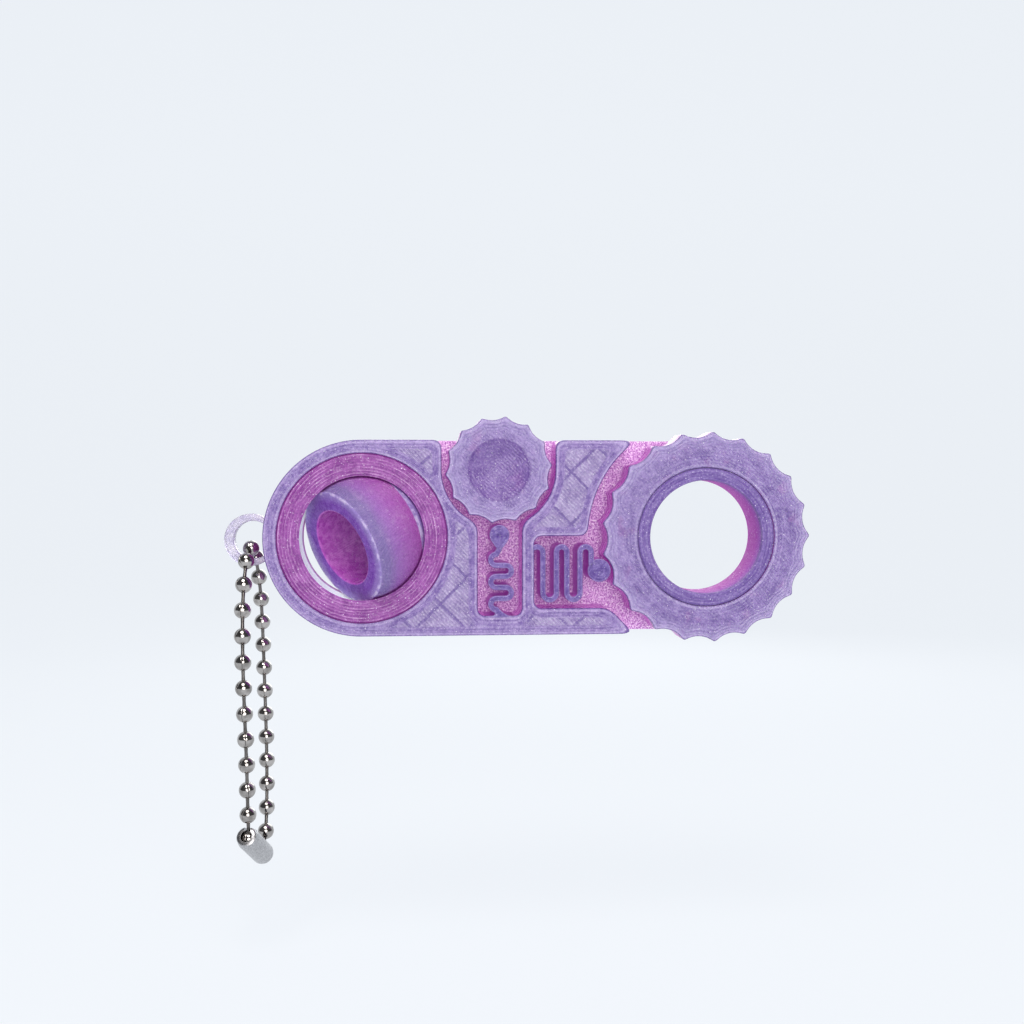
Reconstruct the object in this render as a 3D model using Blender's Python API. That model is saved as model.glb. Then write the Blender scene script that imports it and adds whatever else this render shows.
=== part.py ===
"""Fidget keychain: a printed body with a thumb gear, a finger-ring gear, two click springs,
a ball that tumbles in a gyro ring, and a ball chain on a key loop.

It stands on its long edge with its face towards -Y. The origin is the middle of the
lower edge, where something holds the body up; the chain hangs lower than that.
"""

from math import asin, atan2, cos, pi, radians, sin, sqrt

import bmesh
import bpy
import numpy as np
from mathutils import Matrix, Vector

# ---- driving dimensions, in millimetres -------------------------------------------

MM = 0.001

# Body: a capsule-shaped slab.
HALF_HEIGHT = 14.2
SPAN = 50.4  # from the gyro's centre to the finger ring's centre
FRONT, BACK = -4.0, 4.0
FLOOR = 2.0  # front of the base plate, the floor of every pocket
BASE_FLARE = 0.05  # the first layers spread a little
RUN_GAP = 0.35  # the gap printed between pieces that move

GYRO = Vector((-SPAN / 2, HALF_HEIGHT))  # X and Z of each centre
HUB = Vector((SPAN / 2, HALF_HEIGHT))
THUMB = GYRO + Vector((19.73, 9.87))

# Gyro ring and ball: zones of three spheres about one centre.
SOCKET_R = 13.0
RING_R = 12.65
RING_INNER_R = 9.8
BALL_R = 9.5
BORE_R = 5.7
BALL_AXIS = Vector((-0.745, -0.56, -0.36)).normalized()  # of its bore, as it rests
BALL_FACE, BALL_TAIL = 4.0, -6.5  # its two flat ends, along that axis

# Gears.
RING_TEETH, RING_TIP_R, RING_ROOT_R, RING_PHASE = 21, 15.7, 14.7, radians(0.7)
THUMB_TEETH, THUMB_TIP_R, THUMB_ROOT_R, THUMB_PHASE = 14, 7.9, 7.25, radians(82.5)
GEAR_BACK = FLOOR - RUN_GAP
HUB_R, HUB_BULGE, HUB_BULGE_Y = 10.1, 0.9, -1.2
FINGER_R = 8.37
DIMPLE_R, DIMPLE_DEPTH = 4.4, 1.0
POST_R, POST_HEAD_R, POST_TOP, POST_NECK = 2.2, 3.0, -0.5, 1.2

# Pockets in the deck, measured from the gyro's centre.
THUMB_POCKET_R = 8.3
HUB_POCKET_R = 17.6
NARROW_SLOT = (16.65, -11.38, 23.11, 5.0)  # left, bottom, right, top
WIDE_SLOT = (24.9, -10.35, 38.0, 0.22)
SLOT_CORNER = 1.1
SOFT_CORNER = 1.4  # rounding where pockets meet each other and the outer edge

# Click springs, measured from the gyro's centre.
STRAND = 0.8
NARROW_HEAD, NARROW_HEAD_R = Vector((19.83, 0.42)), 1.45
NARROW_NECK = 2.0  # from the head's centre to the end of its neck
NARROW_LEFT, NARROW_RIGHT = 18.55, 21.57  # strand centres at the turns
NARROW_TURN_R = 0.8
NARROW_TOP, NARROW_PITCH = -3.21, 1.61
WIDE_HEAD, WIDE_HEAD_R = Vector((34.46, -4.84)), 1.7
WIDE_STRANDS = (24.3, 26.17, 28.16, 29.69, 31.63, 33.28)
WIDE_TOP, WIDE_BOTTOM = -0.95, -9.49
TOUCH_GAP = 0.3  # between solids that meet

# Key loop.
LOOP_CENTRE, LOOP_R = Vector((-16.2, -0.3)), 3.8
EYE_CENTRE, EYE_R = Vector((-15.8, -0.3)), 2.75
LOOP_HALF_THICK = 1.2

# Ball chain: 2.4 mm beads. The route runs from the bead in the connector's mouth, up the
# front, over the key loop and down behind to the bead in the connector's far end.
FRONT_PITCHES, REAR_PITCHES = 12, 14  # from the bead on the key loop to each end
BEAD_R = 1.2
PIN_R = 0.27
CHAIN_ROUTE = (
    (-41.4, -4.6, -28.8),
    (-41.45, -5.1, -24.8),
    (-41.5, -5.7, -18.0),
    (-41.7, -6.2, -10.0),
    (-41.9, -6.2, -2.5),
    (-41.95, -5.6, 4.8),
    (-41.85, -4.5, 8.6),
    (-41.7, -2.75, 11.4),
    (-41.45, 0.0, 12.6),
    (-41.2, 2.75, 11.4),
    (-40.95, 4.5, 8.6),
    (-40.7, 5.6, 4.4),
    (-40.5, 6.2, -2.5),
    (-40.3, 6.3, -10.0),
    (-40.05, 5.9, -18.0),
    (-39.95, 5.0, -25.0),
    (-39.95, 3.7, -29.7),
    (-40.2, 1.2, -32.55),
)

# Connector: a drawn tube, necked at its mouth and round at its far end.
CONNECTOR_R, CONNECTOR_WALL = 1.6, 0.2
MOUTH_R, MOUTH_HOLE_R = 1.2, 0.8
CONNECTOR_SLOT = 0.9

RING_SEGMENTS = 48
SMALL_SEGMENTS = 32


# ---- materials ------------------------------------------------------------------


def material(name, colour, roughness, metallic=0.0):
    mat = bpy.data.materials.new(name)
    mat.use_nodes = True
    mat.diffuse_color = (*colour, 1.0)
    shader = mat.node_tree.nodes["Principled BSDF"]
    shader.inputs["Base Color"].default_value = (*colour, 1.0)
    shader.inputs["Roughness"].default_value = roughness
    shader.inputs["Metallic"].default_value = metallic
    return mat


LAVENDER = (0.33, 0.21, 0.55)
VIOLET = (0.27, 0.16, 0.5)
MAGENTA = (0.45, 0.13, 0.47)
CLEAR_LILAC = (0.72, 0.66, 0.82)
NICKEL = (0.55, 0.53, 0.51)
BRIGHT_STEEL = (0.72, 0.72, 0.73)


# ---- shapes ---------------------------------------------------------------------


def add_object(name, bm, mat, smooth_degrees=35):
    """A new object from a mesh in millimetres."""
    bmesh.ops.recalc_face_normals(bm, faces=bm.faces)
    bmesh.ops.scale(bm, vec=(MM, MM, MM), verts=bm.verts)
    mesh = bpy.data.meshes.new(name)
    bm.to_mesh(mesh)
    bm.free()
    mesh.shade_smooth()
    mesh.set_sharp_from_angle(angle=radians(smooth_degrees))
    mesh.materials.append(mat)
    obj = bpy.data.objects.new(name, mesh)
    bpy.context.scene.collection.objects.link(obj)
    return obj


def put_origin(obj, point):
    """Moves an object's origin to a point in millimetres, and leaves its shape in place."""
    place = Vector(point) * MM
    obj.data.transform(Matrix.Translation(-place))
    obj.location = place
    return obj


def at(centre, y=0.0):
    return Vector((centre.x, y, centre.y))


def as_cutter(obj):
    obj.hide_render = True
    obj.display_type = "WIRE"
    return obj


def combine(obj, other, operation):
    boolean = obj.modifiers.new(other.name, "BOOLEAN")
    boolean.operation = operation
    boolean.solver = "EXACT"
    boolean.object = as_cutter(other)


def extrude_to(bm, front, back):
    """Turns the flat faces of bm into a slab from front to back along Y."""
    for v in bm.verts:
        v.co.y = front
    made = bmesh.ops.extrude_face_region(bm, geom=bm.faces[:])["geom"]
    for v in made:
        if isinstance(v, bmesh.types.BMVert):
            v.co.y = back


def field_slab(name, field, box, step, front, back, mat, straighten=2.5):
    """A slab whose outline is where field(x, z) is zero, inside the box (x0, z0, x1, z1)."""
    x0, z0, x1, z1 = box
    nx, nz = round((x1 - x0) / step), round((z1 - z0) / step)
    xs, zs = np.linspace(x0, x1, nx + 1), np.linspace(z0, z1, nz + 1)
    grid_x, grid_z = np.meshgrid(xs, zs)
    height = field(grid_x, grid_z)
    bm = bmesh.new()
    rows = [
        [bm.verts.new((grid_x[j, i], grid_z[j, i], height[j, i])) for i in range(nx + 1)]
        for j in range(nz + 1)
    ]
    for j in range(nz):
        for i in range(nx):
            a, b = rows[j][i], rows[j][i + 1]
            c, d = rows[j + 1][i + 1], rows[j + 1][i]
            bm.faces.new((a, b, c))
            bm.faces.new((a, c, d))
    bmesh.ops.bisect_plane(
        bm,
        geom=bm.verts[:] + bm.edges[:] + bm.faces[:],
        plane_co=(0, 0, 0),
        plane_no=(0, 0, 1),
        clear_outer=True,
        dist=1e-6,
    )
    for v in bm.verts:
        v.co = (v.co.x, front, v.co.y)
    bmesh.ops.remove_doubles(bm, verts=bm.verts, dist=step * 0.12)
    bmesh.ops.dissolve_limit(
        bm, angle_limit=radians(straighten), verts=bm.verts, edges=bm.edges
    )
    extrude_to(bm, front, back)
    return add_object(name, bm, mat)


def outline_slab(name, points, front, back, mat):
    """A slab from an outline of (x, z) points."""
    bm = bmesh.new()
    bm.faces.new([bm.verts.new((x, front, z)) for x, z in points])
    extrude_to(bm, front, back)
    return add_object(name, bm, mat)


def turned(name, profile, centre, mat, segments=RING_SEGMENTS, axis=(0, 1, 0)):
    """Turns (radius, distance along the axis) points about a centre, in millimetres."""
    turn = Vector((0, 1, 0)).rotation_difference(Vector(axis))
    bm = bmesh.new()
    closed = all(r > 1e-6 for r, _ in profile)
    verts = [bm.verts.new((r, along, 0)) for r, along in profile]
    pairs = list(zip(verts, verts[1:]))
    if closed:
        pairs.append((verts[-1], verts[0]))
    edges = [bm.edges.new(pair) for pair in pairs]
    bmesh.ops.spin(
        bm, geom=verts + edges, cent=(0, 0, 0), axis=(0, 1, 0), angle=2 * pi, steps=segments
    )
    bmesh.ops.remove_doubles(bm, verts=bm.verts, dist=1e-4)
    bmesh.ops.rotate(bm, cent=(0, 0, 0), matrix=turn.to_matrix(), verts=bm.verts)
    bmesh.ops.translate(bm, vec=centre, verts=bm.verts)
    return add_object(name, bm, mat)


def arc(radius, start, end, steps):
    """(r, along) points on a sphere of this radius, from one height along the axis to another."""
    a0, a1 = asin(start / radius), asin(end / radius)
    angles = [a0 + (a1 - a0) * i / steps for i in range(steps + 1)]
    return [(radius * cos(a), radius * sin(a)) for a in angles]


def gear_outline(teeth, tip, root, phase, centre, steps=6):
    """Scallops between pointed teeth: each is an arc through two tips and a root point."""
    half = pi / teeth
    away = (tip**2 - root**2) / (2 * (tip * cos(half) - root))
    hollow = away - root
    reach = atan2(tip * sin(half), away - tip * cos(half))
    points = []
    for tooth in range(teeth):
        middle = phase + half + 2 * half * tooth
        for i in range(steps):
            a = reach * (1 - 2 * i / steps)
            x, z = away - hollow * cos(a), -hollow * sin(a)
            points.append(
                (
                    centre.x + x * cos(middle) - z * sin(middle),
                    centre.y + x * sin(middle) + z * cos(middle),
                )
            )
    return points


# ---- outlines as distance fields (negative inside) --------------------------------


def segment_field(x, z, a, b, radius):
    """Distance to a segment from a to b, less a radius."""
    along = b - a
    t = ((x - a.x) * along.x + (z - a.y) * along.y) / max(along.length_squared, 1e-9)
    t = np.clip(t, 0, 1)
    return np.hypot(x - a.x - t * along.x, z - a.y - t * along.y) - radius


def disc_field(x, z, centre, radius):
    return np.hypot(x - centre.x, z - centre.y) - radius


def box_field(x, z, box, corner):
    left, bottom, right, top = box
    dx = np.abs(x - (left + right) / 2) - (right - left) / 2 + corner
    dz = np.abs(z - (bottom + top) / 2) - (top - bottom) / 2 + corner
    outside = np.hypot(np.maximum(dx, 0), np.maximum(dz, 0))
    return outside + np.minimum(np.maximum(dx, dz), 0) - corner


def join(a, b, soft):
    """The union of two fields, with inner corners filled over the width soft."""
    h = np.maximum(soft - np.abs(a - b), 0) / soft
    return np.minimum(a, b) - h * h * soft / 4


def path_field(x, z, path, width):
    """A strand of this width along a path."""
    pairs = zip(path, path[1:])
    return np.minimum.reduce([segment_field(x, z, a, b, width / 2) for a, b in pairs])


def from_gyro(box):
    left, bottom, right, top = box
    return (left + GYRO.x, bottom + GYRO.y, right + GYRO.x, top + GYRO.y)


def capsule_field(x, z, radius=HALF_HEIGHT):
    return segment_field(x, z, GYRO, HUB, radius)


def deck_field(x, z):
    sky = THUMB + Vector((0, 30))
    thumb_side = join(
        segment_field(x, z, THUMB, sky, THUMB_POCKET_R),
        box_field(x, z, from_gyro(NARROW_SLOT), SLOT_CORNER),
        SOFT_CORNER,
    )
    hub_side = join(
        disc_field(x, z, HUB, HUB_POCKET_R),
        box_field(x, z, from_gyro(WIDE_SLOT), SLOT_CORNER),
        SOFT_CORNER,
    )
    pockets = np.minimum(thumb_side, hub_side)
    pockets = np.minimum(pockets, HUB.x + 5 - x)
    return -join(-capsule_field(x, z), pockets, SOFT_CORNER)


def key_loop_field(x, z):
    loop = disc_field(x, z, GYRO + LOOP_CENTRE, LOOP_R)
    eye = disc_field(x, z, GYRO + EYE_CENTRE, EYE_R)
    body = capsule_field(x, z, HALF_HEIGHT + TOUCH_GAP)
    return np.maximum(np.maximum(loop, -eye), -body)


# ---- the springs' paths ------------------------------------------------------------


def turn_points(centre, radius, start, end, steps=8):
    """Points round a turn, from one angle to another, in degrees."""
    angles = [radians(start + (end - start) * i / steps) for i in range(steps + 1)]
    return [centre + Vector((radius * cos(a), radius * sin(a))) for a in angles]


def narrow_path():
    """From the head's neck, down through five turns, to the pocket's lower wall."""
    path = [GYRO + NARROW_HEAD - Vector((0, NARROW_NECK + TOUCH_GAP + STRAND / 2))]
    for lobe in range(5):
        left = lobe % 2 == 0
        z = NARROW_TOP - NARROW_PITCH * lobe
        x = NARROW_LEFT + NARROW_TURN_R if left else NARROW_RIGHT - NARROW_TURN_R
        start, end = (90, 270) if left else (90, -90)
        path += turn_points(GYRO + Vector((x, z)), NARROW_TURN_R, start, end)
    foot = NARROW_SLOT[1] + STRAND / 2 + TOUCH_GAP
    path.append(GYRO + Vector((20.2, foot)))
    return path


def wide_path():
    """From the pocket's left wall, up and down through five turns, to the head's side."""
    first = WIDE_SLOT[0] + STRAND / 2 + TOUCH_GAP
    xs = (first - 0.4, *WIDE_STRANDS[1:])
    path = []
    for i, (a, b) in enumerate(zip(xs, xs[1:])):
        upper = i % 2 == 0
        radius = (b - a) / 2
        edge = WIDE_TOP - STRAND / 2 - radius if upper else WIDE_BOTTOM + STRAND / 2 + radius
        start, end = (180, 0) if upper else (180, 360)
        path += turn_points(GYRO + Vector(((a + b) / 2, edge)), radius, start, end)
    path = [p for p in path if p.x >= GYRO.x + first]
    path.append(GYRO + Vector((WIDE_STRANDS[-1], WIDE_HEAD.y + WIDE_HEAD_R + TOUCH_GAP)))
    return path


def bounds(path, margin):
    xs, zs = [p.x for p in path], [p.y for p in path]
    return (min(xs) - margin, min(zs) - margin, max(xs) + margin, max(zs) + margin)


# ---- the pieces ------------------------------------------------------------------


def make_frame():
    """Base plate, deck, hub and thumb post, printed as one piece, with two bored holes."""
    mat = material("frame_print", LAVENDER, 0.35)
    reach = HALF_HEIGHT + 0.6
    box = (GYRO.x - reach, GYRO.y - reach, HUB.x + reach, HUB.y + reach)
    base = field_slab(
        "frame",
        lambda x, z: capsule_field(x, z, HALF_HEIGHT + BASE_FLARE),
        box,
        0.6,
        FLOOR,
        BACK,
        mat,
    )
    deck = field_slab("deck", deck_field, box, 0.4, FRONT, FLOOR + 0.5, mat)
    hub = turned(
        "hub",
        [
            (0, FRONT),
            (HUB_R, FRONT),
            (HUB_R + HUB_BULGE, HUB_BULGE_Y),
            (HUB_R, GEAR_BACK),
            (HUB_R, FLOOR + 0.5),
            (0, FLOOR + 0.5),
        ],
        at(HUB),
        mat,
    )
    post = turned(
        "post",
        [
            (0, POST_TOP),
            (POST_HEAD_R, POST_TOP),
            (POST_R, POST_NECK),
            (POST_R, FLOOR + 0.5),
            (0, FLOOR + 0.5),
        ],
        at(THUMB),
        mat,
        segments=20,
    )
    past = BACK + 0.6
    socket = turned(
        "socket",
        [(0, -past), *arc(SOCKET_R, -past, past, 8), (0, past)],
        at(GYRO),
        mat,
    )
    finger = turned(
        "finger_hole",
        [(0, -past), (FINGER_R, -past), (FINGER_R, past), (0, past)],
        at(HUB),
        mat,
    )
    for other in (deck, hub, post):
        combine(base, other, "UNION")
    for other in (socket, finger):
        combine(base, other, "DIFFERENCE")
    return base


def make_key_loop():
    mat = material("key_loop_print", CLEAR_LILAC, 0.3)
    centre = GYRO + LOOP_CENTRE
    reach = LOOP_R + 0.4
    box = (centre.x - reach, centre.y - reach, centre.x + reach, centre.y + reach)
    return field_slab(
        "key_loop", key_loop_field, box, 0.3, -LOOP_HALF_THICK, LOOP_HALF_THICK, mat, 6
    )


def make_gyro_ring():
    mat = material("gyro_ring_print", MAGENTA, 0.32)
    outer = arc(RING_R, BACK, FRONT, 6)
    inner = arc(RING_INNER_R, FRONT, BACK, 6)
    ring = turned("gyro_ring", outer + inner, at(GYRO), mat)
    return put_origin(ring, at(GYRO))


def make_gyro_ball():
    mat = material("gyro_ball_print", VIOLET, 0.32)
    profile = [*arc(BALL_R, BALL_FACE, BALL_TAIL, 6), (BORE_R, BALL_TAIL), (BORE_R, BALL_FACE)]
    ball = turned("gyro_ball", profile, at(GYRO), mat, segments=40, axis=BALL_AXIS)
    return put_origin(ball, at(GYRO))


def make_thumb_gear():
    mat = material("thumb_gear_print", VIOLET, 0.35)
    points = gear_outline(THUMB_TEETH, THUMB_TIP_R, THUMB_ROOT_R, THUMB_PHASE, THUMB)
    gear = outline_slab("thumb_gear", points, FRONT, GEAR_BACK, mat)
    sphere = (DIMPLE_R**2 + DIMPLE_DEPTH**2) / (2 * DIMPLE_DEPTH)
    floor = FRONT + DIMPLE_DEPTH
    rim = DIMPLE_R + 0.6 * DIMPLE_R / sphere
    bowl = [(sphere * sin(a), floor + sphere * (cos(a) - 1)) for a in (0, 0.15, 0.3)]
    bowl = [*bowl, (DIMPLE_R, FRONT), (rim, FRONT - 0.6), (0, FRONT - 0.6)]
    dimple = turned("dimple", bowl, at(THUMB), mat, SMALL_SEGMENTS)
    cavity = turned(
        "axle_cavity",
        [
            (0, POST_TOP - RUN_GAP),
            (POST_HEAD_R + RUN_GAP, POST_TOP - RUN_GAP),
            (POST_R + RUN_GAP, POST_NECK),
            (POST_R + RUN_GAP, FLOOR),
            (0, FLOOR),
        ],
        at(THUMB),
        mat,
        segments=20,
    )
    combine(gear, dimple, "DIFFERENCE")
    combine(gear, cavity, "DIFFERENCE")
    return put_origin(gear, at(THUMB))


def make_ring_gear():
    mat = material("ring_gear_print", VIOLET, 0.35)
    points = gear_outline(RING_TEETH, RING_TIP_R, RING_ROOT_R, RING_PHASE, HUB)
    gear = outline_slab("ring_gear", points, FRONT, GEAR_BACK, mat)
    bore_r = HUB_R + RUN_GAP
    bore = turned(
        "ring_gear_bore",
        [
            (0, FRONT - 1),
            (bore_r, FRONT - 1),
            (bore_r, FRONT),
            (bore_r + HUB_BULGE, HUB_BULGE_Y),
            (bore_r, GEAR_BACK),
            (bore_r, GEAR_BACK + 1),
            (0, GEAR_BACK + 1),
        ],
        at(HUB),
        mat,
    )
    combine(gear, bore, "DIFFERENCE")
    return put_origin(gear, at(HUB))


def make_springs():
    mat = material("spring_print", VIOLET, 0.35)
    for name, path in (("narrow_click_spring", narrow_path()), ("wide_click_spring", wide_path())):
        field_slab(
            name,
            lambda x, z, path=path: path_field(x, z, path, STRAND),
            bounds(path, STRAND),
            0.2,
            FRONT,
            GEAR_BACK,
            mat,
            6,
        )


def make_spring_heads():
    mat = material("spring_head_print", VIOLET, 0.35)
    centre, neck = GYRO + NARROW_HEAD, Vector((0, STRAND / 2 - NARROW_NECK))

    def narrow_field(x, z):
        head = disc_field(x, z, centre, NARROW_HEAD_R)
        return join(head, segment_field(x, z, centre, centre + neck, STRAND / 2), 1.2)

    def wide_field(x, z):
        return disc_field(x, z, GYRO + WIDE_HEAD, WIDE_HEAD_R)

    for name, field, head in (
        ("narrow_click_head", narrow_field, centre),
        ("wide_click_head", wide_field, GYRO + WIDE_HEAD),
    ):
        reach = 2.6
        box = (head.x - reach, head.y - reach, head.x + reach, head.y + reach)
        field_slab(name, field, box, 0.25, FRONT, GEAR_BACK, mat, 8)


def smooth_line(points, steps):
    """A Catmull-Rom curve through the points, with this many steps between two of them."""
    points = [Vector(p) for p in points]
    ends = [2 * points[0] - points[1], *points, 2 * points[-1] - points[-2]]
    line = []
    for a, b, c, d in zip(ends, ends[1:], ends[2:], ends[3:]):
        for i in range(steps):
            t = i / steps
            line.append(
                0.5
                * (
                    2 * b
                    + (c - a) * t
                    + (2 * a - 5 * b + 4 * c - d) * t**2
                    + (3 * b - a - 3 * c + d) * t**3
                )
            )
    return [*line, points[-1]]


def evenly_along(line, count):
    lengths = [0.0]
    for a, b in zip(line, line[1:]):
        lengths.append(lengths[-1] + (b - a).length)
    places = np.linspace(0, lengths[-1], count)
    return [Vector(np.interp(s, lengths, axis) for axis in zip(*line)) for s in places]


def bead_places():
    """The beads' centres, with one of them on the key loop."""
    steps = 40
    line = smooth_line(CHAIN_ROUTE, steps)
    top = max(range(len(CHAIN_ROUTE)), key=lambda i: CHAIN_ROUTE[i][2]) * steps
    front = evenly_along(line[: top + 1], FRONT_PITCHES + 1)
    rear = evenly_along(line[top:], REAR_PITCHES + 1)
    return front + rear[1:]


def make_chain():
    """Each bead is one piece with the pin that leads to the next."""
    mat = material("chain_nickel", NICKEL, 0.25, 1.0)
    beads = bead_places()
    pitch = min((b - a).length for a, b in zip(beads, beads[1:]))
    start = sqrt(BEAD_R**2 - PIN_R**2)
    ball = arc(BEAD_R, -BEAD_R, start, 6)
    ball[0] = (0, -BEAD_R)
    pin_end = pitch - BEAD_R - TOUCH_GAP
    profile = [*ball, (PIN_R, pin_end), (0, pin_end)]
    shared = None
    for i, place in enumerate(beads):
        last = place is beads[-1]
        name = f"chain_bead_{i + 1:02d}"
        if last:
            whole = arc(BEAD_R, -BEAD_R, BEAD_R, 6)
            whole[0], whole[-1] = (0, -BEAD_R), (0, BEAD_R)
            obj = turned(name, whole, (0, 0, 0), mat, 10)
            way = place - beads[i - 1]
        elif shared is None:
            obj = turned(name, profile, (0, 0, 0), mat, 10)
            shared = obj.data
            way = beads[i + 1] - place
        else:
            obj = bpy.data.objects.new(name, shared)
            bpy.context.scene.collection.objects.link(obj)
            way = beads[i + 1] - place
        obj.location = place * MM
        obj.rotation_mode = "QUATERNION"
        obj.rotation_quaternion = Vector((0, 1, 0)).rotation_difference(way)
    return beads


def make_connector(mouth, far):
    """The tube holds the first bead behind its mouth and the last bead in its round end."""
    mat = material("connector_steel", BRIGHT_STEEL, 0.2, 1.0)
    way = (far - mouth).normalized()
    length = (far - mouth).length
    inner = CONNECTOR_R - CONNECTOR_WALL
    front = -BEAD_R - 0.25
    outside = [
        (MOUTH_HOLE_R, front),
        (MOUTH_R, front),
        (CONNECTOR_R, front + 1.3),
        *[(r, length + h) for r, h in arc(CONNECTOR_R, 0.0, CONNECTOR_R, 5)][:-1],
        (0, length + CONNECTOR_R),
    ]
    inside = [
        (0, length + inner),
        *[(r, length + h) for r, h in arc(inner, inner, 0.0, 5)][1:],
        (inner, front + 1.3),
        (MOUTH_HOLE_R + 0.15, front + 0.35),
    ]
    tube = turned("chain_connector", inside + outside, mouth, mat, 20, axis=way)
    slot = connector_slot(mouth, way, front, length)
    combine(tube, slot, "DIFFERENCE")
    return tube


def connector_slot(mouth, way, front, length):
    """The slot along the tube's upper side, which both ends of the chain come out of."""
    side = way.cross(Vector((0, 0, 1))).normalized()
    up = side.cross(way)
    bm = bmesh.new()
    bmesh.ops.create_cube(bm, size=1)
    size = Vector((CONNECTOR_SLOT, length - front + 1.4, CONNECTOR_R))
    bmesh.ops.scale(bm, vec=size, verts=bm.verts)
    turn = Matrix((side, way, up)).transposed()
    bmesh.ops.rotate(bm, cent=(0, 0, 0), matrix=turn, verts=bm.verts)
    middle = mouth + way * (length + front) / 2 + up * (CONNECTOR_R / 2 + 0.6)
    bmesh.ops.translate(bm, vec=middle, verts=bm.verts)
    return add_object("connector_slot", bm, bpy.data.materials["connector_steel"])


def clear_scene():
    for obj in list(bpy.data.objects):
        bpy.data.objects.remove(obj, do_unlink=True)


def main():
    clear_scene()
    make_frame()
    make_key_loop()
    make_gyro_ring()
    make_gyro_ball()
    make_thumb_gear()
    make_ring_gear()
    make_springs()
    make_spring_heads()
    beads = make_chain()
    make_connector(beads[0], beads[-1])


main()
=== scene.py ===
"""Looks for the fidget keychain: fine rounded prints, their layered translucent plastic,
the nickel ball chain, and a plain studio. Lengths here are in millimetres unless a name ends in _m.
"""

import random
from math import asin, cos, pi, radians, sin, sqrt

import bmesh
import bpy
import numpy as np
from mathutils import Matrix, Quaternion, Vector


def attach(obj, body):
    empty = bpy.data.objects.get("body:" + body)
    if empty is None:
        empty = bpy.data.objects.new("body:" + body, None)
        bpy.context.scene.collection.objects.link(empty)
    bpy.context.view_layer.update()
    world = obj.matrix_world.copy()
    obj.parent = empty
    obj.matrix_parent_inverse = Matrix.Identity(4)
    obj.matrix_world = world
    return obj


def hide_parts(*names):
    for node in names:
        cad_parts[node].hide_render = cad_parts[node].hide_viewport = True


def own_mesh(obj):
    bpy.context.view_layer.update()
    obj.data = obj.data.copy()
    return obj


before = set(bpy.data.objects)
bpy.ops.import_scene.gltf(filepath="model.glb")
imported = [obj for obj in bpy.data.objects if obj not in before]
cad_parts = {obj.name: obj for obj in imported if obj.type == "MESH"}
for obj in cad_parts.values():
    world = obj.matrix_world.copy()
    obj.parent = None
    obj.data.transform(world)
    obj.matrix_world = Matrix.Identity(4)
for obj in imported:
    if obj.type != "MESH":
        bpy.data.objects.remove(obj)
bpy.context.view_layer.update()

MM = 0.001

# ---- the model's dimensions ----

HALF_HEIGHT = 14.2
SPAN = 50.4
FRONT, BACK, FLOOR = -4.0, 4.0, 2.0  # along y: the face, the back and the pockets' floor
THICKNESS = BACK - FRONT
RUN_GAP = 0.35
GYRO = Vector((-SPAN / 2, HALF_HEIGHT))
HUB = Vector((SPAN / 2, HALF_HEIGHT))
THUMB = GYRO + Vector((19.73, 9.87))
SOCKET_R, RING_R, RING_INNER_R, BALL_R, BORE_R = 13.0, 12.65, 9.8, 9.5, 5.7
BALL_AXIS = Vector((-0.745, -0.56, -0.36)).normalized()  # of its bore, as it rests
BALL_FACE, BALL_TAIL = 4.0, -6.5  # its two flat ends, along that axis
RING_TEETH, RING_TIP_R, RING_ROOT_R, RING_PHASE = 21, 15.7, 14.7, radians(0.7)
THUMB_TEETH, THUMB_TIP_R, THUMB_ROOT_R, THUMB_PHASE = 14, 7.9, 7.25, radians(82.5)
GEAR_BACK = FLOOR - RUN_GAP
HUB_R, HUB_BULGE, HUB_BULGE_Y, FINGER_R = 10.1, 0.9, -1.2, 8.37
DIMPLE_R, DIMPLE_DEPTH = 4.4, 1.0
THUMB_POCKET_R, HUB_POCKET_R = 8.3, 17.6
# Left, bottom, right and top of each spring's pocket; these and the springs count from the gyro.
NARROW_SLOT = (16.65, -11.38, 23.11, 5.0)
WIDE_SLOT = (24.9, -10.35, 38.0, 0.22)
SLOT_CORNER, SOFT_CORNER = 1.1, 1.4
STRAND = 0.8
NARROW_HEAD, NARROW_HEAD_R, NARROW_NECK = Vector((19.83, 0.42)), 1.45, 2.0
NARROW_LEFT, NARROW_RIGHT, NARROW_TURN_R = 18.55, 21.57, 0.8
NARROW_TOP, NARROW_PITCH = -3.21, 1.61
WIDE_HEAD, WIDE_HEAD_R = Vector((34.46, -4.84)), 1.7
WIDE_STRANDS = (24.3, 26.17, 28.16, 29.69, 31.63, 33.28)
WIDE_TOP, WIDE_BOTTOM = -0.95, -9.49
LOOP_CENTRE, LOOP_R = Vector((-16.2, -0.3)), 3.8
EYE_CENTRE, EYE_R = Vector((-15.8, -0.3)), 2.75
LOOP_HALF_THICK = 1.2
SUNK_BACK = FLOOR + 0.4  # how far the deck, hub and post reach into the base
LINE_WIDTH, LAYER_HEIGHT = 0.44, 0.2  # of the printed strands
NARROW_TRAVEL, WIDE_TRAVEL = 0.8, 1.1  # of the two spring heads
SHARP_DEGREES = 38  # edges over this angle stay sharp
SNUG = 0.12  # gap drawn round the hub, and how much nearer the gyro ring and its socket are drawn
EDGE = 0.28  # the rounding of printed edges

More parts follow.
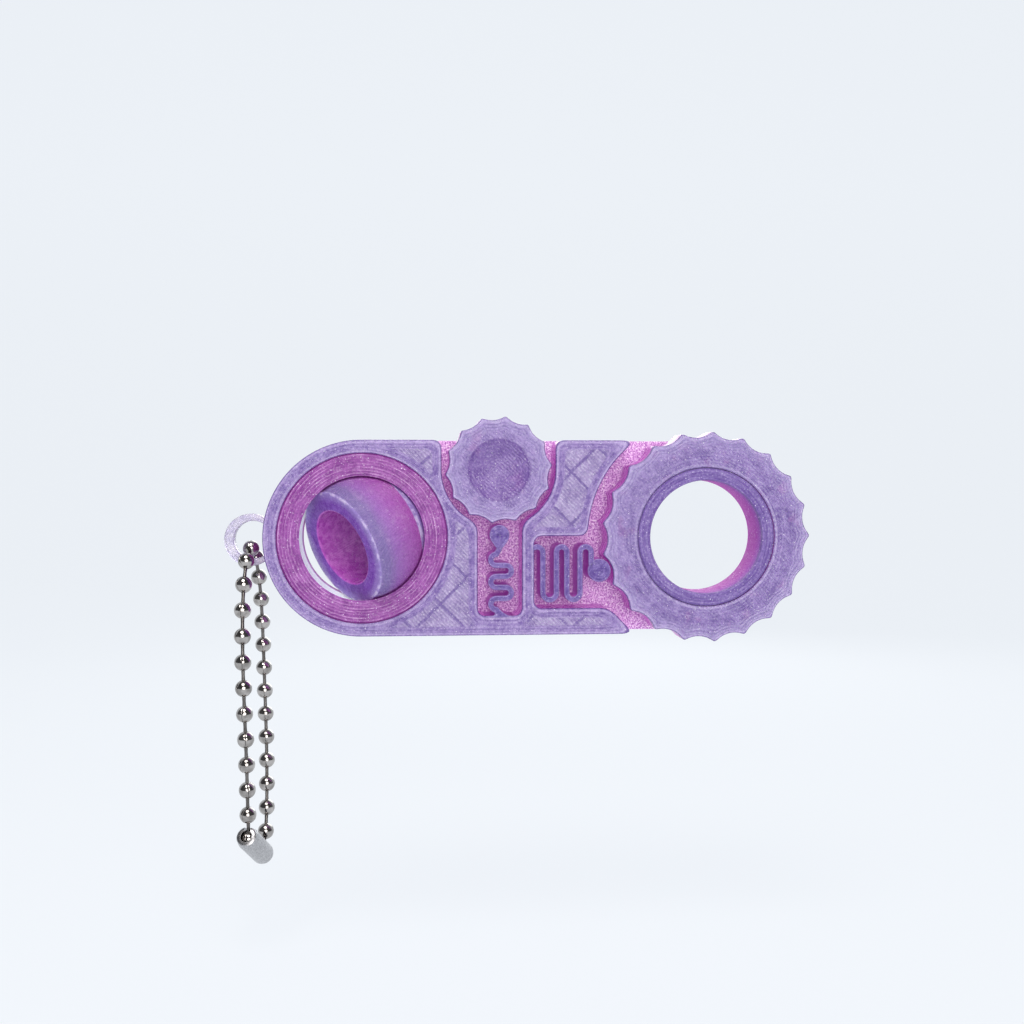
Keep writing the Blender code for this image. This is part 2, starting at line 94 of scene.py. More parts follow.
FRONT_PITCHES, REAR_PITCHES = 12, 14
BEAD_R, PIN_R = 1.2, 0.27
CHAIN_ROUTE = (
    (-41.4, -4.6, -28.8), (-41.45, -5.1, -24.8), (-41.5, -5.7, -18.0),
    (-41.7, -6.2, -10.0), (-41.9, -6.2, -2.5), (-41.95, -5.6, 4.8),
    (-41.85, -4.5, 8.6), (-41.7, -2.75, 11.4), (-41.45, 0.0, 12.6),
    (-41.2, 2.75, 11.4), (-40.95, 4.5, 8.6), (-40.7, 5.6, 4.4),
    (-40.5, 6.2, -2.5), (-40.3, 6.3, -10.0), (-40.05, 5.9, -18.0),
    (-39.95, 5.0, -25.0), (-39.95, 3.7, -29.7), (-40.2, 1.2, -32.55),
)
CONNECTOR_R, CONNECTOR_WALL, MOUTH_R, MOUTH_HOLE_R, CONNECTOR_SLOT = 1.6, 0.2, 1.2, 0.8, 0.9


# ---- camera, light and floor ----


def make_camera():
    data = bpy.data.cameras.new("camera")
    data.lens = 42.61
    data.sensor_width = 36.0
    data.clip_start = 0.01
    camera = bpy.data.objects.new("camera", data)
    camera.location = (-0.01829, -0.17927, 0.02243)
    camera.rotation_euler = (radians(90 - 1.46), 0.0, radians(-4.80))
    bpy.context.scene.collection.objects.link(camera)
    bpy.context.scene.camera = camera


def area_light(name, place, target, size, power, colour=(1, 1, 1), shine=1.0):
    data = bpy.data.lights.new(name, "AREA")
    data.shape = "DISK"
    data.size = size
    data.energy = power
    data.color = colour
    data.specular_factor = shine
    light = bpy.data.objects.new(name, data)
    light.location = place
    way = Vector(target) - Vector(place)
    light.rotation_euler = way.to_track_quat("-Z", "Y").to_euler()
    bpy.context.scene.collection.objects.link(light)


def make_studio():
    scene = bpy.context.scene
    scene.view_settings.view_transform = "Standard"
    scene.view_settings.look = "None"
    world = bpy.data.worlds.new("studio")
    scene.world = world
    world.use_nodes = True
    tree = world.node_tree
    new, link = tree.nodes.new, tree.links.new
    background = tree.nodes["Background"]
    place = new("ShaderNodeTexCoord")
    split = new("ShaderNodeSeparateXYZ")
    ramp = new("ShaderNodeValToRGB")
    link(place.outputs["Generated"], split.inputs[0])
    link(split.outputs["Y"], ramp.inputs[0])
    ramp.color_ramp.elements[0].position = 0.0
    ramp.color_ramp.elements[0].color = (0.16, 0.16, 0.17, 1)
    ramp.color_ramp.elements[1].position = 0.75
    ramp.color_ramp.elements[1].color = (0.9, 0.95, 1.0, 1)
    link(ramp.outputs[0], background.inputs[0])
    background.inputs[1].default_value = 0.62
    seen = new("ShaderNodeBackground")
    seen.inputs[0].default_value = (0.80, 0.84, 0.89, 1)
    rays = new("ShaderNodeLightPath")
    either = new("ShaderNodeMixShader")
    link(rays.outputs["Is Camera Ray"], either.inputs[0])
    link(background.outputs[0], either.inputs[1])
    link(seen.outputs[0], either.inputs[2])
    link(either.outputs[0], tree.nodes["World Output"].inputs[0])
    area_light("key", (-0.06, -0.17, 0.34), (0, 0, 0.01), 0.24, 0.95, (1.0, 0.96, 0.93))
    area_light("fill", (0.03, -0.46, 0.1), (0, 0, 0.01), 0.34, 1.35, (1.0, 0.96, 0.94))
    area_light("back", (0.06, 0.3, 0.12), (0, 0, 0.01), 0.25, 0.35, shine=0.0)

    bm = bmesh.new()
    rows = []
    floor_z, wall_y, bend = -0.046, 0.55, 0.25
    profile = [(-0.9, floor_z), (0.0, floor_z)]
    for i in range(13):
        a = radians(90 * i / 12)
        profile.append((wall_y - bend + bend * sin(a), floor_z + bend - bend * cos(a)))
    profile.append((wall_y, 1.2))
    for x in (-1.6, 1.6):
        rows.append([bm.verts.new((x, y, z)) for y, z in profile])
    for i in range(len(profile) - 1):
        bm.faces.new((rows[0][i], rows[1][i], rows[1][i + 1], rows[0][i + 1]))
    mesh = bpy.data.meshes.new("floor")
    bm.to_mesh(mesh)
    bm.free()
    mesh.shade_smooth()
    floor = bpy.data.objects.new("floor", mesh)
    scene.collection.objects.link(floor)
    paint = Paint("floor_paper")
    paint.bsdf.inputs["Base Color"].default_value = (0.12, 0.12, 0.12, 1)
    paint.bsdf.inputs["Roughness"].default_value = 1.0
    paint.bsdf.inputs["Specular IOR Level"].default_value = 0.0
    paint.bsdf.inputs["Emission Color"].default_value = (0.79, 0.83, 0.88, 1)
    paint.bsdf.inputs["Emission Strength"].default_value = 0.97
    mesh.materials.append(paint.material)


# ---- building shader nodes ----


def linear(r, g, b):
    """An sRGB colour, 0 to 255, as the shader takes it."""
    return tuple(
        c / 12.92 if c <= 0.04045 else ((c + 0.055) / 1.055) ** 2.4
        for c in (r / 255, g / 255, b / 255)
    ) + (1.0,)


class Paint:
    """A material, and short names for the nodes that it is made of."""

    def __init__(self, name):
        self.material = bpy.data.materials.new(name)
        self.material.use_nodes = True
        self.tree = self.material.node_tree
        self.bsdf = self.tree.nodes["Principled BSDF"]

    def node(self, kind):
        return self.tree.nodes.new("ShaderNode" + kind)

    def put(self, value, socket):
        if isinstance(value, bpy.types.NodeSocket):
            self.tree.links.new(value, socket)
        else:
            socket.default_value = value

    def math(self, operation, a, b=0.0, c=0.0):
        node = self.node("Math")
        node.operation = operation
        for value, socket in zip((a, b, c), node.inputs):
            self.put(value, socket)
        return node.outputs[0]

    def times(self, a, b):
        return self.math("MULTIPLY", a, b)

    def plus(self, a, b):
        return self.math("ADD", a, b)

    def flip(self, a):
        """1 where a is 0, and 0 where it is 1."""
        return self.math("SUBTRACT", 1.0, a)

    def step(self, value, low, high):
        """0 below low, 1 above high, and smooth between."""
        node = self.node("MapRange")
        node.interpolation_type = "SMOOTHSTEP"
        for number, socket in zip((value, low, high), node.inputs[:3]):
            self.put(number, socket)
        return node.outputs[0]

    def mix(self, amount, a, b, blend="MIX"):
        node = self.node("Mix")
        node.data_type = "RGBA"
        node.blend_type = blend
        self.put(amount, node.inputs[0])
        self.put(a, node.inputs[6])
        self.put(b, node.inputs[7])
        return node.outputs[2]

    def tint(self, colour, where, share, other):
        """colour, with so much of the other colour where the mask is 1."""
        return self.mix(self.times(where, share), colour, other)

    def blend(self, value, low, high, a, b):
        """a where value is below low, and b where it is above high."""
        return self.mix(self.step(value, low, high), a, b)

    def lined(self, colour, lines, share, other):
        """colour, with the other colour on the crests of lines."""
        return self.mix(self.math("MULTIPLY_ADD", lines, share, share), colour, other)

    def ramp(self, value, stops):
        node = self.node("ValToRGB")
        elements = node.color_ramp.elements
        while len(elements) < len(stops):
            elements.new(0.5)
        for element, (position, colour) in zip(elements, stops):
            element.position = position
            element.color = colour
        self.put(value, node.inputs[0])
        return node.outputs[0]

    def place(self):
        """The point on the piece at rest, in millimetres."""
        coords = self.node("TexCoord")
        scale = self.node("VectorMath")
        scale.operation = "SCALE"
        scale.inputs["Scale"].default_value = 1000.0
        self.put(coords.outputs["Object"], scale.inputs[0])
        return scale.outputs[0]

    def split(self, vector):
        node = self.node("SeparateXYZ")
        self.put(vector, node.inputs[0])
        return node.outputs

    def vector(self, operation, a, b):
        node = self.node("VectorMath")
        node.operation = operation
        self.put(a, node.inputs[0])
        self.put(b, node.inputs[1])
        return node.outputs["Value" if operation in ("DOT_PRODUCT", "LENGTH") else "Vector"]

    def noise(self, vector, scale, detail=2.0, roughness=0.5):
        node = self.node("TexNoise")
        node.inputs["Scale"].default_value = scale
        node.inputs["Detail"].default_value = detail
        node.inputs["Roughness"].default_value = roughness
        self.put(vector, node.inputs["Vector"])
        return node.outputs["Fac"]

    def cells(self, vector, scale):
        node = self.node("TexVoronoi")
        node.inputs["Scale"].default_value = scale
        self.put(vector, node.inputs["Vector"])
        return node.outputs["Distance"], self.split(node.outputs["Color"])[0]

    def attribute(self, name):
        node = self.node("Attribute")
        node.attribute_name = name
        return node.outputs["Fac"]

    def round_axis(self, place, centre, stretch):
        """Radius about a centre, and a place whose grain runs round that centre."""
        x, _, z = self.split(place)
        across = self.math("SUBTRACT", x, centre.x)
        up = self.math("SUBTRACT", z, centre.y)
        squares = self.math("MULTIPLY_ADD", up, up, self.math("MULTIPLY", across, across))
        radius = self.math("SQRT", squares)
        node = self.node("CombineXYZ")
        self.put(self.math("MULTIPLY", radius, stretch), node.inputs[0])
        self.put(self.math("DIVIDE", across, radius), node.inputs[1])
        self.put(self.math("DIVIDE", up, radius), node.inputs[2])
        return radius, node.outputs[0]

    def wave(self, value, period):
        """-1 to 1, once each period of value."""
        return self.math("SINE", self.math("MULTIPLY", value, 2 * pi / period))

    def bump(self, height, millimetres):
        node = self.node("Bump")
        node.inputs["Distance"].default_value = millimetres * MM
        self.put(height, node.inputs["Height"])
        self.put(node.outputs[0], self.bsdf.inputs["Normal"])


# Print colours through its depth, from the face to the print bed; DEEP_MAGENTA is also the painted
# shade on the ball beside its ring.
DEEP_VIOLET = linear(110, 80, 160)
MAGENTA = linear(160, 62, 160)
DEEP_MAGENTA = linear(132, 40, 140)
PINK = linear(170, 92, 176)
PALE_PINK = linear(190, 128, 192)
SPARK = linear(240, 232, 250)
BLACK = (0.0, 0.0, 0.0, 1.0)


def glitter(paint, place, colour, amount=1.0):
    """Flecks of two sizes cast into the plastic, and a fine grain."""
    flecks = []
    for scale, radius, share in ((1.9, 0.17, 0.5), (3.6, 0.24, 0.55)):
        distance, pick = paint.cells(place, scale)
        near = paint.flip(paint.step(distance, radius * 0.5, radius))
        flecks.append(paint.times(near, paint.step(pick, share, share + 0.3)))
    fleck = paint.math("MAXIMUM", flecks[0], paint.times(flecks[1], 0.7))
    fleck = paint.times(fleck, 0.85 * amount)
    grain = paint.noise(place, 3.4, 3.0, 0.65)
    dark = paint.flip(paint.step(grain, 0.36, 0.5))
    colour = paint.mix(paint.times(dark, 0.28 * amount), colour, DEEP_VIOLET, "MULTIPLY")
    pale = paint.times(paint.step(grain, 0.52, 0.68), 0.13 * amount)
    colour = paint.mix(pale, colour, SPARK)
    return paint.mix(fleck, colour, SPARK), fleck


def plastic(paint, colour, fleck, height, bump, painted_glow=None, rough=0.36, under=0.25):
    """Translucent print. Its emission is painted light that stands in for the light coming through
    its thin flanks.
    """
    bsdf = paint.bsdf.inputs
    paint.put(colour, bsdf["Base Color"])
    shine = paint.noise(paint.place(), 1.3, 2.0)
    shine = paint.math("MULTIPLY_ADD", shine, 0.24, rough - 0.12)
    paint.put(paint.math("MULTIPLY_ADD", fleck, -0.15, shine), bsdf["Roughness"])
    bsdf["Subsurface Weight"].default_value = under
    bsdf["Subsurface Radius"].default_value = (1.0, 0.55, 1.0)
    bsdf["Subsurface Scale"].default_value = 0.0016
    bsdf["IOR"].default_value = 1.46
    bsdf["Specular IOR Level"].default_value = 0.42
    if painted_glow is not None:
        paint.put(painted_glow, bsdf["Emission Color"])
        bsdf["Emission Strength"].default_value = 0.3
    paint.bump(height, bump)
    return paint.material


def along_depth(paint, depth, face, flank=MAGENTA):
    """face on the front, then flank from half a millimetre down the sides, and emission of the
    flank colour there, painted light for the sides.
    """
    stops = [(0.1, flank), (0.62, PINK), (0.75, PALE_PINK), (1.0, PALE_PINK)]
    body = paint.ramp(paint.times(depth, 1 / THICKNESS), stops)
    side = paint.flip(paint.step(paint.attribute("rim"), 0.05, 0.25))
    side = paint.math("MAXIMUM", side, paint.step(depth, 2.5, 3.0))
    side = paint.times(side, paint.step(depth, 0.22, 0.75))
    return paint.mix(side, face, body), paint.mix(side, BLACK, flank)


def outlined(paint, rim, face, dark, pale, share=1.0):
    """A thin dark line on the edge of a face, and just inside it a pale one, a painted highlight
    along the rounded edge.
    """
    line = paint.flip(paint.step(rim, 0.04, 0.2))
    inner = paint.times(paint.step(rim, 0.12, 0.26), 0.4)
    fade = paint.flip(paint.step(rim, 0.34, 0.62))
    face = paint.mix(paint.times(inner, fade), face, pale)
    line = paint.times(line, share)
    return paint.mix(paint.times(line, 0.5), face, dark)


def deck_material():
    """Solid bands along the edges, and between them the sparse filling seen through a skin."""
    paint = Paint("deck_print")
    place = paint.place()
    x, y, z = paint.split(place)
    rim = paint.attribute("rim")
    inside = paint.step(rim, 1.15, 1.5)
    rising = paint.times(paint.plus(x, z), sqrt(0.5))
    falling = paint.times(paint.math("SUBTRACT", x, z), sqrt(0.5))
    wobble = paint.times(paint.noise(place, 0.5), 0.35)

    def bars(value, offset):
        shifted = paint.plus(paint.plus(value, wobble), offset)
        across = paint.math("PINGPONG", shifted, 2.7)
        return paint.flip(paint.step(across, 0.1, 0.32))

    filling = paint.math("MAXIMUM", bars(rising, 1.0), bars(falling, 2.2))
    filling = paint.times(filling, inside)
    hatch = paint.wave(paint.plus(rising, wobble), LINE_WIDTH)
    outline = paint.wave(rim, LINE_WIDTH)
    lines = paint.times(hatch, inside)
    lines = paint.plus(lines, paint.times(outline, paint.flip(inside)))
    blotch = paint.noise(place, 0.35, 3.0)
    cell = paint.blend(blotch, 0.35, 0.65, linear(136, 118, 170), linear(158, 142, 188))
    streak = paint.step(paint.noise(place, 1.5, 4.0, 0.65), 0.4, 0.65)
    bright = paint.times(paint.math("MULTIPLY_ADD", hatch, 0.26, 0.24), streak)
    cell = paint.mix(bright, cell, linear(214, 206, 228))
    cloud = paint.noise(place, 0.9, 4.0, 0.7)
    band = paint.blend(cloud, 0.38, 0.62, linear(116, 92, 160), linear(148, 128, 184))
    past_end = paint.math("SUBTRACT", paint.math("ABSOLUTE", x), SPAN / 2)
    past_end = paint.math("MAXIMUM", past_end, 0.0)
    above = paint.math("SUBTRACT", z, HALF_HEIGHT)
    squares = paint.plus(paint.math("POWER", past_end, 2.0), paint.times(above, above))
    outer = paint.step(paint.math("SQRT", squares), 12.2, 13.2)
    band = paint.tint(band, outer, 0.2, linear(160, 142, 194))
    face = paint.mix(inside, band, cell)
    face = paint.tint(face, filling, 0.8, linear(102, 78, 150))
    radius, _ = paint.round_axis(place, GYRO, 1.0)
    share = paint.step(radius, SOCKET_R, SOCKET_R + 0.3)
    face = outlined(paint, rim, face, linear(90, 66, 140), linear(190, 176, 216), share)
    colour, painted_glow = along_depth(paint, paint.math("SUBTRACT", y, FRONT), face)
    colour, fleck = glitter(paint, place, colour)
    height = paint.plus(lines, paint.times(fleck, 1.5))
    return plastic(paint, colour, fleck, height, 0.028, painted_glow, rough=0.27)


def floor_material():
    """The first layer of the print, grainy where the pockets show it."""
    paint = Paint("base_print")
    place = paint.place()
    y = paint.split(place)[1]
    grain = paint.noise(place, 4.4, 3.0, 0.7)
    stops = [(0.34, linear(146, 74, 160)), (0.46, linear(196, 134, 204))]
    stops += [(0.55, linear(228, 182, 230)), (0.64, linear(255, 244, 255))]
    face = paint.ramp(grain, stops)
    back = paint.mix(0.3, linear(158, 92, 162), face)
    behind = paint.step(y, FLOOR + 0.4, FLOOR + 1.0)
    colour = paint.mix(behind, face, back)
    colour, fleck = glitter(paint, place, colour, 0.5)
    # Painted light: the pocket floors give off their own colour as emission, standing in for light
    # through the thin base.
    painted_glow = paint.mix(paint.flip(behind), BLACK, paint.mix(0.5, BLACK, face))
    return plastic(paint, colour, fleck, grain, 0.08, painted_glow, under=0.1)


def gear_material(name, centre, teeth_r, solid_to, shaded_dimple_r=0.0):
    """Perimeters that follow the teeth, a mottled face, and, given a dimple's radius as the last
    argument, painted shade in that dimple: a dark ring at its edge and a darker middle.
    """
    paint = Paint(name)
    place = paint.place()
    x, y, z = paint.split(place)
    rim = paint.attribute("rim")
    radius, along = paint.round_axis(place, centre, 1.2)
    swirl = paint.step(paint.noise(along, 2.4, 4.0, 0.7), 0.42, 0.66)
    near_rim = paint.flip(paint.step(rim, 1.3, 1.9))
    toothed = paint.step(radius, teeth_r - 3.0, teeth_r - 1.5)
    near_rim = paint.times(near_rim, toothed)
    near_axis = paint.flip(paint.step(radius, solid_to - 0.4, solid_to + 0.4))
    rising = paint.times(paint.plus(x, z), sqrt(0.5))
    wobble = paint.times(paint.noise(place, 0.8), 0.8)
    hatch = paint.wave(paint.plus(rising, wobble), LINE_WIDTH)
    rings = paint.wave(radius, LINE_WIDTH)
    outline = paint.wave(rim, LINE_WIDTH)
    lines = paint.times(outline, near_rim)
    rest = paint.flip(near_rim)
    rings = paint.times(rings, 0.3)
    inner = paint.plus(paint.times(rings, near_axis), paint.times(hatch, 0.5))
    lines = paint.plus(lines, paint.times(inner, rest))
    blotch = paint.noise(place, 0.55, 4.0, 0.6)
    face = paint.blend(blotch, 0.36, 0.62, linear(104, 80, 150), linear(134, 112, 174))
    pinker = paint.times(paint.step(paint.noise(place, 0.42), 0.58, 0.7), 0.35)
    face = paint.mix(pinker, face, linear(146, 90, 160))
    face = paint.tint(face, near_rim, 0.5, linear(156, 142, 192))
    face = paint.tint(face, swirl, 0.22, linear(176, 162, 208))
    face = paint.lined(face, lines, 0.07, linear(204, 194, 226))
    face = outlined(paint, rim, face, linear(84, 60, 134), linear(190, 178, 216), toothed)
    # Painted shade in the dimple: a dark ring at its sunken edge and a darker middle.
    if shaded_dimple_r:
        apart = paint.math("ABSOLUTE", paint.math("SUBTRACT", radius, shaded_dimple_r))
        dimple_edge_shade = paint.flip(paint.step(apart, 0.05, 0.35))
        face = paint.tint(face, dimple_edge_shade, 0.45, linear(80, 54, 130))
        face = paint.tint(face, near_axis, 0.4, linear(108, 68, 148))
    colour, painted_glow = along_depth(paint, paint.math("SUBTRACT", y, FRONT), face)
    colour, fleck = glitter(paint, place, colour)
    height = paint.plus(lines, paint.times(fleck, 1.5))
    return plastic(paint, colour, fleck, height, 0.03, painted_glow, rough=0.27)


def hub_material():
    paint = Paint("hub_print")
    place = paint.place()
    y = paint.split(place)[1]
    radius, along = paint.round_axis(place, HUB, 1.2)
    rings = paint.wave(radius, LINE_WIDTH)
    blotch = paint.noise(along, 2.0, 3.0)
    face = paint.blend(blotch, 0.35, 0.65, linear(106, 82, 152), linear(128, 108, 170))
    face = paint.lined(face, rings, 0.05, linear(200, 190, 224))
    depth = paint.math("SUBTRACT", y, FRONT)
    stops = [(0.12, linear(120, 80, 160)), (0.4, linear(150, 70, 160)), (0.8, linear(170, 84, 170))]
    body = paint.ramp(paint.times(depth, 1 / THICKNESS), stops)
    colour = paint.blend(depth, 0.3, 1.4, face, body)
    layers = paint.wave(y, LAYER_HEIGHT)
    colour, fleck = glitter(paint, place, colour)
    # Painted light: below the face, the hub's sides give off magenta as emission.
    painted_glow = paint.blend(depth, 0.3, 1.4, BLACK, linear(150, 60, 150))
    height = paint.plus(paint.times(layers, 0.5), rings)
    made = plastic(paint, colour, fleck, height, 0.015, painted_glow, rough=0.6)
    paint.bsdf.inputs["Specular IOR Level"].default_value = 0.1
    return made


def gyro_ring_material():
    """Magenta, with its rings of fine lines broken by paler streaks that are painted highlights,
    painted shade towards its outer edge, and painted light on its sides and on part of its inner
    wall.
    """
    paint = Paint("gyro_ring_print")
    place = paint.place()
    y = paint.split(place)[1]
    radius, along = paint.round_axis(place, GYRO, 1.5)
    rings = paint.wave(radius, LINE_WIDTH)
    streak = paint.noise(along, 2.2, 4.0, 0.7)
    cloud = paint.noise(place, 0.5, 3.0, 0.6)
    base = paint.blend(cloud, 0.36, 0.62, linear(128, 50, 140), linear(152, 78, 162))
    # Painted shade: darker magenta towards the outer edge, where the ring meets its socket.
    rim = paint.step(radius, RING_R - 1.6, RING_R - 0.5)
    base = paint.tint(base, rim, 0.3, linear(132, 46, 140))
    # Painted highlights: pale streaks on the crests of the fine rings.
    lit = paint.times(paint.step(rings, -0.2, 1.0), paint.step(streak, 0.46, 0.62))
    base = paint.tint(base, lit, 0.5, linear(224, 176, 228))
    # Painted light: on its left side the middle and back of the inner wall are painted near white,
    # standing in for the bright light seen through the gap beside the ball.
    inner = paint.flip(paint.step(radius, RING_INNER_R + 0.02, RING_INNER_R + 0.1))
    inner = paint.times(inner, paint.step(y, -1.5, 1.0))
    inner = paint.times(inner, paint.flip(paint.step(y, 3.2, 3.7)))
    left = paint.flip(paint.step(paint.split(place)[0], GYRO.x - 2, GYRO.x + 1))
    inner = paint.times(inner, left)
    back = paint.blend(y, 2.0, 3.9, base, linear(158, 96, 164))
    colour = paint.mix(inner, back, linear(222, 226, 232))
    colour, fleck = glitter(paint, place, colour)
    # Painted light: the ring's sides behind its face give off magenta as emission.
    behind = paint.step(y, FRONT + 0.12, FRONT + 0.3)
    behind = paint.times(behind, paint.flip(paint.step(y, 3.5, 3.9)))
    painted_glow = paint.mix(behind, BLACK, linear(150, 60, 150))
    # Painted light: a pale emission on the same part of the inner wall.
    painted_glow = paint.mix(inner, painted_glow, linear(226, 240, 236))
    return plastic(paint, colour, fleck, rings, 0.02, painted_glow)


def ball_material():
    """Deep violet on its face, lavender then pink along its axis, magenta in its bore, with painted
    shade on its skin beside the ring and painted highlight streaks at the edges of its faces.
    """
    paint = Paint("gyro_ball_print")
    place = paint.place()
    middle = paint.vector("SUBTRACT", place, (GYRO.x, 0, GYRO.y))
    along = paint.vector("DOT_PRODUCT", middle, tuple(BALL_AXIS))
    whole = paint.vector("LENGTH", middle, (0, 0, 0))
    squares = paint.math("SUBTRACT", paint.times(whole, whole), paint.times(along, along))
    apart = paint.math("SQRT", paint.math("MAXIMUM", squares, 0.0))
    stops = [(0.0, linear(128, 110, 172)), (0.16, linear(132, 112, 174))]
    stops += [(0.34, linear(158, 106, 188)), (0.6, linear(168, 92, 184))]
    stops.append((1.0, linear(172, 76, 176)))
    skin = paint.ramp(paint.math("MULTIPLY_ADD", along, -0.125, 0.5), stops)
    layers = paint.wave(along, LAYER_HEIGHT)
    streak = paint.noise(place, 1.0, 3.0, 0.6)
    skin = paint.lined(skin, layers, 0.035, linear(214, 190, 230))
    streaked = paint.times(paint.step(streak, 0.55, 0.75), 0.25)
    skin = paint.mix(streaked, skin, linear(220, 190, 234))
    rings = paint.wave(apart, LINE_WIDTH)
    face = paint.blend(streak, 0.35, 0.65, linear(112, 58, 168), linear(134, 86, 188))
    face = paint.lined(face, rings, 0.04, linear(190, 160, 220))
    near_edge = paint.times(paint.step(apart, 6.9, 8.3), 0.75)
    face = paint.mix(near_edge, face, linear(158, 140, 202))
    # Painted highlight: broken bright streaks along the outer edge of each flat face.
    edge = paint.times(paint.step(apart, 8.1, 8.4), paint.step(streak, 0.42, 0.6))
    face = paint.tint(face, edge, 0.7, linear(220, 208, 238))
    on_face = paint.step(paint.math("ABSOLUTE", along), 3.75, 3.97)
    colour = paint.mix(on_face, skin, face)
    bore = paint.blend(streak, 0.4, 0.65, linear(176, 70, 186), linear(204, 116, 210))
    in_bore = paint.flip(paint.step(apart, BORE_R + 0.05, BORE_R + 0.3))
    colour = paint.mix(in_bore, colour, bore)
    # Painted shade: off the face and the bore, the skin is darkened towards deep magenta where
    # ambient occlusion finds the ring close by.
    shade = paint.node("AmbientOcclusion")
    shade.inputs["Distance"].default_value = 3.0 * MM
    painted_ring_shade = paint.flip(paint.step(shade.outputs["AO"], 0.3, 0.85))
    painted_ring_shade = paint.times(painted_ring_shade, paint.flip(on_face))
    painted_ring_shade = paint.times(painted_ring_shade, paint.step(apart, BORE_R + 0.3, BORE_R + 0.6))
    colour = paint.tint(colour, painted_ring_shade, 0.6, DEEP_MAGENTA)
    colour, fleck = glitter(paint, place, colour, 0.7)
    height = paint.times(layers, paint.flip(on_face))
    return plastic(paint, colour, fleck, height, 0.03, rough=0.26)


def spring_material():
    paint = Paint("spring_print")
    place = paint.place()
    y = paint.split(place)[1]
    rim = paint.attribute("rim")
    blotch = paint.noise(place, 1.2, 3.0)
    face = paint.blend(blotch, 0.35, 0.65, linear(88, 62, 142), linear(114, 92, 164))
    # Painted highlight: the faces are paler along their rounded edges.
    edge = paint.flip(paint.step(rim, 0.02, 0.22))
    face = paint.tint(face, edge, 0.55, linear(174, 158, 210))
    colour, painted_glow = along_depth(paint, paint.math("SUBTRACT", y, FRONT), face, DEEP_MAGENTA)
    colour, fleck = glitter(paint, place, colour)
    return plastic(paint, colour, fleck, paint.wave(rim, 0.4), 0.02, painted_glow)


def clear_material():
    """The key loop: nearly clear, with a little lilac and glitter."""
    paint = Paint("key_loop_print")
    place = paint.place()
    cloud = paint.noise(place, 1.2, 3.0)
    colour = paint.blend(cloud, 0.35, 0.65, linear(206, 200, 228), linear(236, 232, 246))
    colour, fleck = glitter(paint, place, colour, 0.8)
    lines = paint.wave(paint.attribute("rim"), LINE_WIDTH)
    made = plastic(paint, colour, fleck, lines, 0.02, rough=0.25, under=0.0)
    paint.bsdf.inputs["Transmission Weight"].default_value = 0.55
    return made


def nickel_material():
    """Polished nickel plate, dull in its seams and with fine handling marks."""
    paint = Paint("chain_nickel")
    place = paint.place()
    seam = paint.attribute("seam")
    cloud = paint.noise(place, 0.9, 4.0, 0.6)
    colour = paint.blend(cloud, 0.3, 0.7, linear(142, 138, 135), linear(188, 184, 181))
    colour = paint.tint(colour, seam, 0.9, linear(36, 30, 28))
    paint.put(colour, paint.bsdf.inputs["Base Color"])
    paint.bsdf.inputs["Metallic"].default_value = 1.0
    rough = paint.math("MULTIPLY_ADD", cloud, 0.1, 0.05)
    paint.put(paint.math("MULTIPLY_ADD", seam, 0.3, rough), paint.bsdf.inputs["Roughness"])
    paint.bump(paint.noise(place, 9.0, 3.0), 0.006)
    return paint.material


def steel_material():
    """Satin plate, drawn along the tube."""
    paint = Paint("connector_steel")
    place = paint.place()
    scale = paint.vector("MULTIPLY", place, (7.0, 2.2, 4.0))
    drawn = paint.noise(scale, 1.0, 4.0, 0.65)
    colour = paint.blend(drawn, 0.3, 0.7, linear(150, 150, 152), linear(196, 196, 198))
    paint.put(colour, paint.bsdf.inputs["Base Color"])
    paint.bsdf.inputs["Metallic"].default_value = 1.0
    paint.put(paint.math("MULTIPLY_ADD", drawn, 0.2, 0.22), paint.bsdf.inputs["Roughness"])
    paint.bump(drawn, 0.01)
    return paint.material


# ---- outlines as distance fields (negative inside) ----


def segment_field(x, z, a, b, radius):
    along = b - a
    t = ((x - a.x) * along.x + (z - a.y) * along.y) / max(along.length_squared, 1e-9)
    t = np.clip(t, 0, 1)
    return np.hypot(x - a.x - t * along.x, z - a.y - t * along.y) - radius


def disc_field(x, z, centre, radius):
    return np.hypot(x - centre.x, z - centre.y) - radius


def box_field(x, z, box, corner):
    left, bottom, right, top = box
    dx = np.abs(x - (left + right) / 2) - (right - left) / 2 + corner
    dz = np.abs(z - (bottom + top) / 2) - (top - bottom) / 2 + corner
    outside = np.hypot(np.maximum(dx, 0), np.maximum(dz, 0))
    return outside + np.minimum(np.maximum(dx, dz), 0) - corner


def join(a, b, soft):
    h = np.maximum(soft - np.abs(a - b), 0) / soft
    return np.minimum(a, b) - h * h * soft / 4


def path_field(x, z, path, width):
    pairs = zip(path, path[1:])
    return np.minimum.reduce([segment_field(x, z, a, b, width / 2) for a, b in pairs])


def from_gyro(box):
    left, bottom, right, top = box
    return (left + GYRO.x, bottom + GYRO.y, right + GYRO.x, top + GYRO.y)


def capsule_field(x, z, radius=HALF_HEIGHT):
    return segment_field(x, z, GYRO, HUB, radius)


def deck_field(x, z):
    sky = THUMB + Vector((0, 30))
    thumb_side = join(
        segment_field(x, z, THUMB, sky, THUMB_POCKET_R),
        box_field(x, z, from_gyro(NARROW_SLOT), SLOT_CORNER),
        SOFT_CORNER,
    )
    hub_side = join(
        disc_field(x, z, HUB, HUB_POCKET_R),
        box_field(x, z, from_gyro(WIDE_SLOT), SLOT_CORNER),
        SOFT_CORNER,
    )
    pockets = np.minimum(thumb_side, hub_side)
    pockets = np.minimum(pockets, HUB.x + 5 - x)
    whole = -join(-capsule_field(x, z), pockets, SOFT_CORNER)
    return np.maximum(whole, -disc_field(x, z, GYRO, socket_radius(FRONT) - SNUG))


